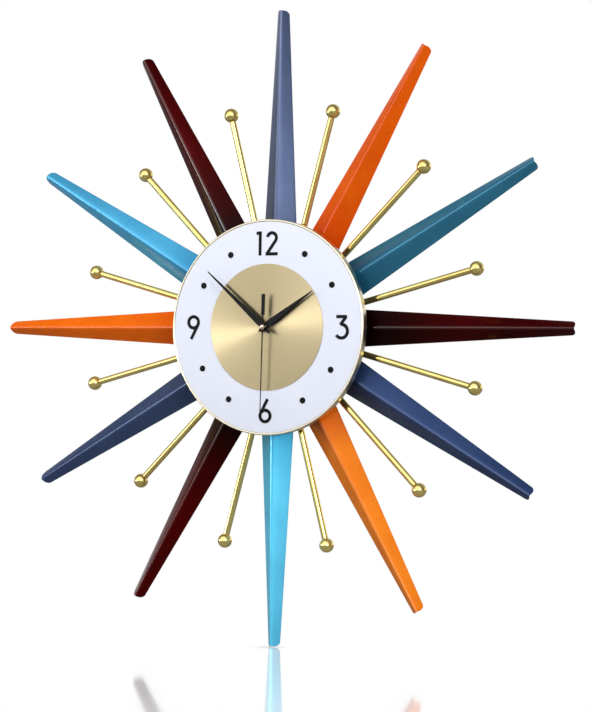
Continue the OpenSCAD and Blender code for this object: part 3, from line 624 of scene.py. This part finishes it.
def ballSurface(s):
    # sphere on the rod's axis with a small countersink where the rod enters
    start = math.pi - math.asin((s["radius"] + 0.25) / s["ballRadius"])
    bend = np.linspace(start, 0, 28)
    arc = np.stack([s["ballRadius"] * np.sin(bend), s["ballRing"] + s["ballRadius"] * np.cos(bend)], -1)
    mouth = np.array([[0, arc[0, 1] + 1.5], [s["radius"] - 0.1, arc[0, 1] + 0.5],
                      [s["radius"] + 0.1, arc[0, 1] + 0.05]])
    profile = np.concatenate([mouth, arc])
    angle = sweepAngles(48)[None, :]
    r, y = profile[:, 0][:, None], profile[:, 1][:, None] + 0 * angle
    return np.stack([r * np.cos(angle), y, s["axisHeight"] + r * np.sin(angle)], -1)


rodGrid, ballGrid = rodSurface(rods), ballSurface(rods)
for index in range(1, 13):
    angle = (index + rods["offset"]) * 30
    makePiece(f"drawn_rod_{index:02d}", [closedSurface(clockwise(rodGrid, angle), size=rods["rodUv"])],
              "polished_brass", stands=[f"rod_{index:02d}"], sharp=40)
ballShells = [closedSurface(clockwise(ballGrid, (i + rods["offset"]) * 30), size=rods["ballUv"])
              for i in range(1, 13)]
makePiece("turned_balls", ballShells, "polished_brass", stands=["ball_finials"], sharp=40)
print("rods and balls made")

# ---- dial ----

dial = {
    "radius": 109.7, "rim": 1.2, "lip": 2.4, "faceHeight": 34.0, "panTop": 33.2, "panRear": 26.6,
    "boardTop": 32.4, "boardRear": 20.0, "boardStep": 27.5, "boardRadius": 108.3,
    "boardRearRadius": 97.7, "bore": 4.3, "discRadius": 64.4, "discThickness": 0.5,
}
nut = {"bore": 4.02, "radius": 4.4, "collar": 4.6, "rear": 34.5, "collarTop": 35.0, "top": 36.3}


def panProfile(s):
    # section of the pan: front plate, side wall and a rim rolled over in a half circle
    outer, lip = s["radius"], s["lip"] / 2
    a = np.linspace(0, np.pi, 17)
    roll = np.stack([outer - lip + lip * np.cos(a), s["faceHeight"] - 0.4 + 0.9 * np.sin(a)], -1)
    wall = closedProfile([(outer - s["rim"] - 0.1, s["boardTop"]), (outer - s["rim"] - 0.1, s["panRear"]),
                          (outer, s["panRear"]), (outer, s["panTop"] - 1)], 0.35)
    wall = wall[5:15]
    plate = [(outer - s["lip"], s["panTop"]), (s["bore"], s["panTop"]), (s["bore"], s["boardTop"]),
             (outer - s["rim"] - 0.1, s["boardTop"])]
    return np.concatenate([wall, roll, plate])


makePiece("spun_dial_pan", [turned(panProfile(dial), 240, closed=True)], "champagne_gold",
          stands=["dial_pan"], sharp=40)
faceEdge = dial["radius"] - dial["lip"] - 0.05
faceRing = closedProfile([(dial["bore"], dial["panTop"]), (faceEdge, dial["panTop"]),
                          (faceEdge, dial["faceHeight"]), (dial["bore"], dial["faceHeight"])], 0.08, 3)
makePiece("printed_dial_face", [turned(faceRing, 240, closed=True)], "white_enamel",
          stands=["dial_face"])
discTop = dial["faceHeight"] + dial["discThickness"]
discRing = closedProfile([(dial["bore"], dial["faceHeight"]), (dial["discRadius"], dial["faceHeight"]),
                          (dial["discRadius"], discTop), (dial["bore"], discTop)], 0.22, 4)
makePiece("spun_centre_disc", [turned(discRing, 200, closed=True)], "spun_gold",
          stands=["centre_disc"])
boardRing = closedProfile([
    (dial["bore"], dial["boardRear"]), (dial["boardRearRadius"], dial["boardRear"]),
    (dial["boardRearRadius"], dial["boardStep"]), (dial["boardRadius"], dial["boardStep"]),
    (dial["boardRadius"], dial["boardTop"]), (dial["bore"], dial["boardTop"])], 0.6, 4)
makePiece("turned_backing_board", [turned(boardRing, 180, closed=True)],
          "black_stained_board", stands=["backing_board"])
nutProfile = closedProfile([
    (nut["bore"], nut["rear"]), (nut["collar"], nut["rear"]), (nut["collar"], nut["collarTop"]),
    (nut["radius"], nut["collarTop"]), (nut["radius"], nut["top"]), (nut["bore"], nut["top"])], 0.12, 2)
makePiece("knurled_dial_nut", [turned(nutProfile, 72, closed=True)], "turned_brass",
          stands=["dial_nut"])
print("dial made")

# ---- hands ----

hands = {
    "hour_hand": {"length": 65.0, "tail": 8.5, "width": 7.8, "tip": 0.5, "widest": 9.0,
                  "height": 38.0, "thickness": 0.8, "angle": 55.9, "ring": (2.72, 3.8),
                  "pipe": 3.45, "pipeFrom": 37.35},
    "minute_hand": {"length": 86.6, "tail": 11.0, "width": 6.0, "tip": 0.55, "widest": 9.0,
                    "height": 40.2, "thickness": 0.8, "angle": 310.8, "ring": (1.77, 3.0),
                    "pipe": 2.55, "pipeFrom": 39.1},
}


def flatten(t):
    # turns a circle into a superellipse with nearly flat sides
    return np.sign(t) * np.abs(t) ** 0.35


def handBlade(s, start, end):
    # blade from start to end along y: its half width is interpolated between the tail, the
    # widest place and the point, and its section is a flat superellipse with a faint crown
    stations = np.array([-s["tail"], -s["tail"] * 0.55, -s["widest"] * 0.4, s["widest"], s["length"]])
    halves = np.array([0.1, 0.3 * s["width"], 0.36 * s["width"], 0.5 * s["width"], s["tip"]])
    y = np.concatenate([[start], np.linspace(start, end, 60), [end]])
    half = np.interp(y, stations, halves)
    half[0] = half[-1] = 0
    a = sweepAngles(20)[None, :]
    x = half[:, None] * flatten(np.cos(a))
    thick = s["thickness"] / 2 * np.where(half > 0, 1, 0)[:, None]
    h = s["height"] + s["thickness"] / 2 + thick * flatten(np.sin(a))
    return np.stack([x, y[:, None] + 0 * a, h], -1)


def ringAround(inner, outer, low, high, segments=48):
    return turned(closedProfile([(inner, low), (outer, low), (outer, high), (inner, high)], 0.12, 2),
                  segments, closed=True)


for name, s in hands.items():
    top = s["height"] + s["thickness"]
    bore, ring = s["ring"]
    shells = [closedSurface(clockwise(handBlade(s, bore + 0.3, s["length"]), s["angle"])),
              closedSurface(clockwise(handBlade(s, -s["tail"], -bore - 0.3), s["angle"])),
              ringAround(bore, ring, s["height"] + 0.01, top - 0.01),
              ringAround(bore, s["pipe"], s["pipeFrom"], s["height"] + 0.2)]
    makePiece("stamped_" + name, shells, "black_lacquer", body=name.split("_")[0],
              stands=[name], sharp=45)

sweepHand = {"length": 92.5, "angle": 181.0, "height": 42.2, "thickness": 0.5,
             "weightFrom": 12.2, "weightTo": 33.4, "weightWidth": 4.2, "hub": 2.4, "bore": 0.82,
             "hubTop": 42.69, "pipe": 1.6, "pipeFrom": 41.3, "pipeTop": 42.3}
cap = {"radius": 3.0, "height": 2.88, "rear": 42.7, "rearRadius": 2.85, "domeFrom": 42.8}


def needle(s):
    # half width along y from the point on one side to the weight on the other
    y = np.array([-s["weightTo"], -s["weightTo"], -s["weightTo"] + 0.3, -s["weightFrom"] - 0.3,
                  -s["weightFrom"], -s["weightFrom"] + 0.1, -3, 0, 40, s["length"] - 0.3,
                  s["length"], s["length"]])
    wide = s["weightWidth"] / 2
    half = np.array([0, wide - 0.25, wide, wide, wide - 0.2, 0.8, 0.8, 0.72, 0.6, 0.45, 0.3, 0])
    a = sweepAngles(16)[None, :]
    x = half[:, None] * flatten(np.cos(a))
    thick = s["thickness"] / 2 * np.where(half > 0, 1, 0)[:, None]
    h = s["height"] + s["thickness"] / 2 + thick * flatten(np.sin(a))
    return np.stack([x, y[:, None] + 0 * a, h], -1)


shells = [closedSurface(clockwise(needle(sweepHand), sweepHand["angle"])),
          ringAround(sweepHand["bore"], sweepHand["hub"], sweepHand["height"], sweepHand["hubTop"]),
          ringAround(sweepHand["bore"], sweepHand["pipe"], sweepHand["pipeFrom"], sweepHand["pipeTop"])]
makePiece("stamped_seconds_hand", shells, "black_lacquer", body="seconds",
          stands=["seconds_hand"], sharp=45)
bend = np.linspace(0, np.pi / 2, 14)
dome = np.stack([cap["radius"] * np.cos(bend), cap["domeFrom"] + cap["height"] * np.sin(bend)], -1)
capProfile = np.concatenate([[(0, cap["rear"]), (cap["rearRadius"], cap["rear"])], dome])
makePiece("domed_hand_cap", [turned(capProfile, 48)], "rose_brass", body="seconds",
          stands=["hand_cap"], sharp=60)
print("hands made")

# ---- hub hardware ----

hardware = {
    "footHoles": (79.5, 88.0), "rodHoles": (75.0, 86.0), "hangerScrewX": 14.0, "nailY": 57.0,
    "standoffAt": 43.0, "padRing": 66.0,
    # head radius, head depth, seat, shank radius, shank top and depth of the cross
    "smallScrew": (2.75, 1.8, 3.5, 1.48, 7.5, 0.9), "hangerScrew": (2.75, 1.6, 2.0, 1.48, 6.0, 0.9),
    "longScrew": (3.6, 2.4, 3.5, 1.98, 28.0, 1.1),
    "padCorners": [(3.6, 0.25), (4.4, 0.0), (6, 0.0), (6, 3.5), (0, 3.5)], "padDish": 0.25,
}


def panHead(radius, depth, seat, shank, shankTop, slotDepth):
    # pan head below seat: its dome falls with the fourth power of the radius, and a cross is
    # pressed into it; the shank goes up behind it
    rings = np.concatenate([np.linspace(0, 0.66, 12), np.linspace(0.72, 1, 7)])[:, None] * radius
    a = sweepAngles(56)[None, :]
    x, y = rings * np.sin(a), rings * np.cos(a)
    low = seat - depth + depth * 0.55 * (rings / radius) ** 4 + 0 * a
    arm = np.clip((0.13 * radius + 0.1 - np.minimum(np.abs(x), np.abs(y))) / 0.12, 0, 1)
    arm = arm * np.clip((0.6 * radius - np.maximum(np.abs(x), np.abs(y))) / 0.2, 0, 1)
    low = low + slotDepth * arm
    head = np.stack([x, y, low], -1)
    under = np.array([[radius, seat - 0.01], [shank, seat], [shank, shankTop - 0.4],
                      [shank - 0.4, shankTop], [0, shankTop]])
    r, h = under[:, 0][:, None], under[:, 1][:, None] + 0 * a
    return np.concatenate([head, np.stack([r * np.sin(a), r * np.cos(a), h], -1)])


shells = []
smallHead = panHead(*hardware["smallScrew"])
for hour in range(1, 13):
    for radii, turn, twist in ((hardware["footHoles"], hour * 30, 17 * hour),
                               (hardware["rodHoles"], hour * 30 + 15, 23 * hour)):
        for r in radii:
            head = shifted(clockwise(smallHead, twist + r), y=r)
            shells.append(closedSurface(clockwise(head, turn)))
hangerHead = panHead(*hardware["hangerScrew"])
shells += [closedSurface(shifted(clockwise(hangerHead, side * 20), side * hardware["hangerScrewX"],
                                 hardware["nailY"])) for side in (-1, 1)]
makePiece("pan_head_screws", shells, "zinc_steel", stands=["hub_screws"])
longHead = panHead(*hardware["longScrew"])
corners = [(sx * hardware["standoffAt"], sy * hardware["standoffAt"])
           for sx in (-1, 1) for sy in (-1, 1)]
makePiece("long_standoff_screws",
          [closedSurface(shifted(clockwise(longHead, 31 * x + 7 * y), x, y)) for x, y in corners],
          "zinc_steel", stands=["standoff_screws"])
padEdge = roundedProfile(hardware["padCorners"], 0.6)[1:]
padProfile = np.concatenate([[(0, hardware["padDish"])], padEdge])
padPlaces = [(hardware["padRing"], 0), (0, -hardware["padRing"]), (-hardware["padRing"], 0)]
makePiece("dished_wall_pads", [turned(padProfile, 56, centre=place) for place in padPlaces],
          "black_rubber", stands=["wall_pads"])


def softened(node, name, width, segments=2, body="clock", spread=0):
    # a copy of a node with its loose triangles merged and its hard edges rounded by width; with
    # spread its outline first grows that far outwards in the plane of the dial
    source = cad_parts[node]
    mesh = source.data.copy()
    bm = bmesh.new()
    bm.from_mesh(mesh)
    bmesh.ops.remove_doubles(bm, verts=bm.verts, dist=1e-6)
    bm.normal_update()
    outwards = [sum((f.normal for f in v.link_faces if abs(f.normal.y) < 0.5), Vector())
                for v in bm.verts]
    for vertex, way in zip(bm.verts, outwards):
        vertex.co += way.normalized() * spread * mm
    bmesh.ops.dissolve_limit(bm, angle_limit=math.radians(0.5), verts=bm.verts, edges=bm.edges)
    bm.to_mesh(mesh)
    bm.free()
    mesh.shade_smooth()
    sharpest = math.radians(35)
    mesh.set_sharp_from_angle(angle=sharpest)
    piece = bpy.data.objects.new(name, mesh)
    bpy.context.scene.collection.objects.link(piece)
    bevel = piece.modifiers.new("roundedEdges", "BEVEL")
    bevel.width = width * mm
    bevel.segments = segments
    bevel.limit_method = "ANGLE"
    bevel.angle_limit = sharpest
    bevel.harden_normals = True
    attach(piece, body)
    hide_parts(node)
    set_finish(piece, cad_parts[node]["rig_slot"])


softened("hub_plate", "pressed_hub_plate", 0.25)
softened("hanger_plate", "punched_hanger_plate", 0.25)
softened("standoffs", "hex_standoffs", 0.3)
softened("movement_case", "moulded_movement_case", 0.5, 3)
softened("rear_cover", "moulded_rear_cover", 0.35)
softened("battery_contacts", "pressed_battery_contacts", 0.1)
softened("set_knob", "moulded_set_knob", 0.15, body="set_knob")
softened("hour_marks", "printed_hour_marks", 0.05, spread=0.15)
print("hub and movement made")

# ---- battery ----

battery = {"left": -24.3, "length": 49.3, "radius": 7.2, "y": -18.9, "height": 7.9,
           "crimp": 6.1, "end": 5.2, "nubBase": 3.6, "nub": 2.75}


def alongX(profile, s, segments=64):
    # (radius, distance) profile carried round the cell's axis, which runs along x
    angle = sweepAngles(segments)[None, :]
    r, x = profile[:, 0][:, None], profile[:, 1][:, None] + 0 * angle
    return np.stack([s["left"] + x, s["y"] + r * np.cos(angle), s["height"] + r * np.sin(angle)], -1)


cellLength = battery["length"]
wrapProfile = roundedProfile([
    (0, 0.35), (battery["end"], 0.35), (battery["crimp"], 0), (battery["radius"], 0),
    (battery["radius"], cellLength), (6.0, cellLength), (battery["end"], cellLength - 0.5),
    (0, cellLength - 0.5)], 0.35)
nubProfile = roundedProfile([
    (0, cellLength - 0.6), (battery["nubBase"], cellLength - 0.6),
    (battery["nubBase"], cellLength - 0.1), (battery["nub"], cellLength),
    (battery["nub"], cellLength + 1), (0, cellLength + 1)], 0.25)
makePiece("wrapped_battery", [closedSurface(alongX(wrapProfile, battery), size=(0.05, 0.045))],
          "battery_wrap", stands=["battery"])
makePiece("battery_nub", [closedSurface(alongX(nubProfile, battery))], "zinc_steel")
print("battery made")

# ---- camera ----

cameraPlace = {"target": (0.03435, -0.034, -0.02902), "azimuth": 27.587, "elevation": -0.877,
               "roll": 0.871, "distance": 2.5408, "lens": 127.5}
azimuth, elevation = math.radians(cameraPlace["azimuth"]), math.radians(cameraPlace["elevation"])
backwards = Vector((math.sin(azimuth) * math.cos(elevation), -math.cos(azimuth) * math.cos(elevation),
                    math.sin(elevation)))
camera = bpy.data.objects.new("camera", bpy.data.cameras.new("camera"))
bpy.context.scene.collection.objects.link(camera)
camera.location = Vector(cameraPlace["target"]) + backwards * cameraPlace["distance"]
camera.rotation_mode = "QUATERNION"
roll = Quaternion((0, 0, 1), math.radians(cameraPlace["roll"]))
camera.rotation_quaternion = (-backwards).to_track_quat("-Z", "Y") @ roll
camera.data.lens = cameraPlace["lens"]
camera.data.sensor_width = 36
camera.data.clip_start = 0.1
bpy.context.scene.camera = camera
bpy.context.scene.view_settings.view_transform = "Standard"

# ---- studio ----

studio = {
    "floor": {"gap": 0.0006, "depth": -0.015, "reach": 14, "facing": (0.5, 0.95),
              "gloss": (0.05, 0.6), "glossEnds": (1.4, 0.2), "shadowScale": (1.5, 1.5, 1.0),
              "shadowReach": 0.035, "shadowLevel": 0.45, "roughness": 0.07, "unseen": 0.3},
    "lights": {
        # azimuth and elevation seen from the clock, distance, width, height, watts, mirrored
        "leftKey": (-56, 22, 3.0, 0.9, 1.0, 26, False),
        "rightWall": (72, 4, 3.2, 2.0, 2.2, 98, False),
        "topFill": (0, 62, 4.2, 1.8, 1.5, 50, False),
        "leftStrip": (-62, -8, 2.6, 0.5, 0.7, 20, True),
    },
    "glow": {"least": 0.06, "diffuse": 0.85, "ahead": 0.6, "core": 0.9, "lamp": 5.0, "behind": 0.45,
             "leftBand": 0.5},
    # what the soft box and the two lamps face, and the cosines over which each one rises
    "towards": ((0.0, -0.985, 0.17), (-0.62, -0.78, -0.03), (0.6, -0.76, 0.26)),
    "boxEdge": (0.1, 0.6), "coreEdge": (0.5, 0.8), "lampEdge": (0.965, 0.995),
}
for name, (az, el, distance, width, height, watts, mirrored) in studio["lights"].items():
    data = bpy.data.lights.new(name, "AREA")
    data.shape = "RECTANGLE"
    data.size, data.size_y, data.energy = width, height, watts
    light = bpy.data.objects.new(name, data)
    az, el = math.radians(az), math.radians(el)
    towards = Vector((math.sin(az) * math.cos(el), -math.cos(az) * math.cos(el), math.sin(el)))
    light.location = towards * distance
    light.rotation_mode = "QUATERNION"
    light.rotation_quaternion = towards.to_track_quat("Z", "Y")
    light.visible_glossy = mirrored
    bpy.context.scene.collection.objects.link(light)

world = bpy.data.worlds.new("studioAir")
bpy.context.scene.world = world
world.use_nodes = True
air = world.node_tree
sky = air.nodes["Background"]
where = addNode(air, "ShaderNodeTexCoord")
split = addNode(air, "ShaderNodeSeparateXYZ", links={"Vector": where.outputs["Generated"]})
across, depth, up = split.outputs["X"], split.outputs["Y"], split.outputs["Z"]
paths = addNode(air, "ShaderNodeLightPath")
mirroring = paths.outputs["Is Glossy Ray"]
glow = studio["glow"]
# matt surfaces see a soft wall of light in front, brighter above; mirrors see a wide soft box
# straight ahead, brighter in its middle, with a lamp on either side; everything sees a dim wall
# behind
softWall = maths(air, "MULTIPLY", ramp(air, up, -0.45, 0.45), ramp(air, depth, 0.0, -0.6))
softWall = maths(air, "MULTIPLY", softWall, glow["diffuse"])
ahead, leftLamp, rightLamp = (
    addNode(air, "ShaderNodeVectorMath", {1: towards}, {"operation": "DOT_PRODUCT"},
            {0: where.outputs["Generated"]}).outputs["Value"]
    for towards in studio["towards"])
softBox = maths(air, "ADD", ramp(air, ahead, *studio["boxEdge"], 0.0, glow["ahead"]),
                ramp(air, ahead, *studio["coreEdge"], 0.0, glow["core"]))
for lamp in (leftLamp, rightLamp):
    beam = ramp(air, lamp, *studio["lampEdge"], 0.0, glow["lamp"])
    softBox = maths(air, "ADD", softBox, beam)
frontGlow = addNode(air, "ShaderNodeMix", settings={"data_type": "FLOAT"}, links={
    "Factor": mirroring, 2: softWall, 3: softBox})
general = maths(air, "ADD", frontGlow.outputs[0], glow["least"])
rearGlow = maths(air, "MULTIPLY", ramp(air, depth, 0.1, 0.5), ramp(air, up, -0.6, 0.2))
rearGlow = maths(air, "MULTIPLY", rearGlow, glow["behind"])
# a white band low on the left, and one low behind that the floor mirrors
level = maths(air, "ABSOLUTE", up, 0.0)
leftBand = maths(air, "MULTIPLY", ramp(air, across, -0.6, -0.9), ramp(air, level, 0.45, 0.15))
leftBand = maths(air, "MULTIPLY", leftBand, glow["leftBand"])
floorBand = maths(air, "MULTIPLY", ramp(air, depth, 0.3, 0.6), ramp(air, level, 0.4, 0.3))
sideBand = maths(air, "MULTIPLY", ramp(air, across, -0.8, -0.93),
                 ramp(air, maths(air, "ABSOLUTE", depth, 0.0), 0.22, 0.12))
sideBand = maths(air, "MULTIPLY", sideBand, ramp(air, level, 0.3, 0.2))
bands = maths(air, "MAXIMUM", leftBand, maths(air, "MAXIMUM", floorBand, sideBand))
bands = maths(air, "MULTIPLY", bands, mirroring)
light = maths(air, "MAXIMUM", maths(air, "MAXIMUM", general, rearGlow), bands)
strength = addNode(air, "ShaderNodeMix", {3: 1.0}, {"data_type": "FLOAT"}, {
    "Factor": paths.outputs["Is Camera Ray"], 2: light})
air.links.new(strength.outputs[0], sky.inputs["Strength"])
sky.inputs["Color"].default_value = (1, 1, 1, 1)

ground = studio["floor"]
floorMaterial = bpy.data.materials.new("paleFloor")
floorMaterial.use_nodes = True
tree = floorMaterial.node_tree
tree.nodes.remove(tree.nodes["Principled BSDF"])
surfaceOut = tree.nodes["Material Output"]
facing = addNode(tree, "ShaderNodeLayerWeight", {"Blend": 0.5})
spot = addNode(tree, "ShaderNodeTexCoord").outputs["Object"]
away = addNode(tree, "ShaderNodeVectorMath", settings={"operation": "LENGTH"}, links={0: spot})
grazing = ramp(tree, facing.outputs["Facing"], *ground["facing"], *ground["gloss"])
gloss = maths(tree, "MULTIPLY", grazing, ramp(tree, away.outputs["Value"], *ground["glossEnds"]))
# the ray that stands on it leaves a soft shadow
shadow = addNode(tree, "ShaderNodeVectorMath", {1: ground["shadowScale"]},
                 {"operation": "MULTIPLY"}, {0: spot})
shadow = addNode(tree, "ShaderNodeVectorMath", settings={"operation": "LENGTH"}, links={
    0: shadow.outputs["Vector"]})
white = ramp(tree, shadow.outputs["Value"], 0.0, ground["shadowReach"], ground["shadowLevel"], 1.0)
emission = addNode(tree, "ShaderNodeEmission", {"Color": grey(1)}, links={"Strength": white})
mirror = addNode(tree, "ShaderNodeBsdfGlossy", {"Color": grey(1), "Roughness": ground["roughness"]})
shine = addNode(tree, "ShaderNodeMixShader", links={0: gloss, 2: mirror.outputs["BSDF"]})
dim = addNode(tree, "ShaderNodeBsdfDiffuse", {"Color": grey(ground["unseen"])})
tree.links.new(emission.outputs["Emission"], shine.inputs[1])
pathsHere = addNode(tree, "ShaderNodeLightPath")
seen = addNode(tree, "ShaderNodeMixShader", links={0: pathsHere.outputs["Is Camera Ray"],
                                                   1: dim.outputs["BSDF"], 2: shine.outputs["Shader"]})
tree.links.new(seen.outputs["Shader"], surfaceOut.inputs["Surface"])


def stagePlane(name, points, material):
    mesh = bpy.data.meshes.new(name)
    mesh.from_pydata(points, [], [(0, 1, 2, 3)])
    mesh.materials.append(material)
    plane = bpy.data.objects.new(name, mesh)
    bpy.context.scene.collection.objects.link(plane)
    return plane


reach = ground["reach"]
corners = [(-reach, -reach, 0), (reach, -reach, 0), (reach, reach, 0), (-reach, reach, 0)]
floor = stagePlane("floor", corners, floorMaterial)
floor.location = (0, ground["depth"], cadBox[0].z - ground["gap"])
print("studio lit")
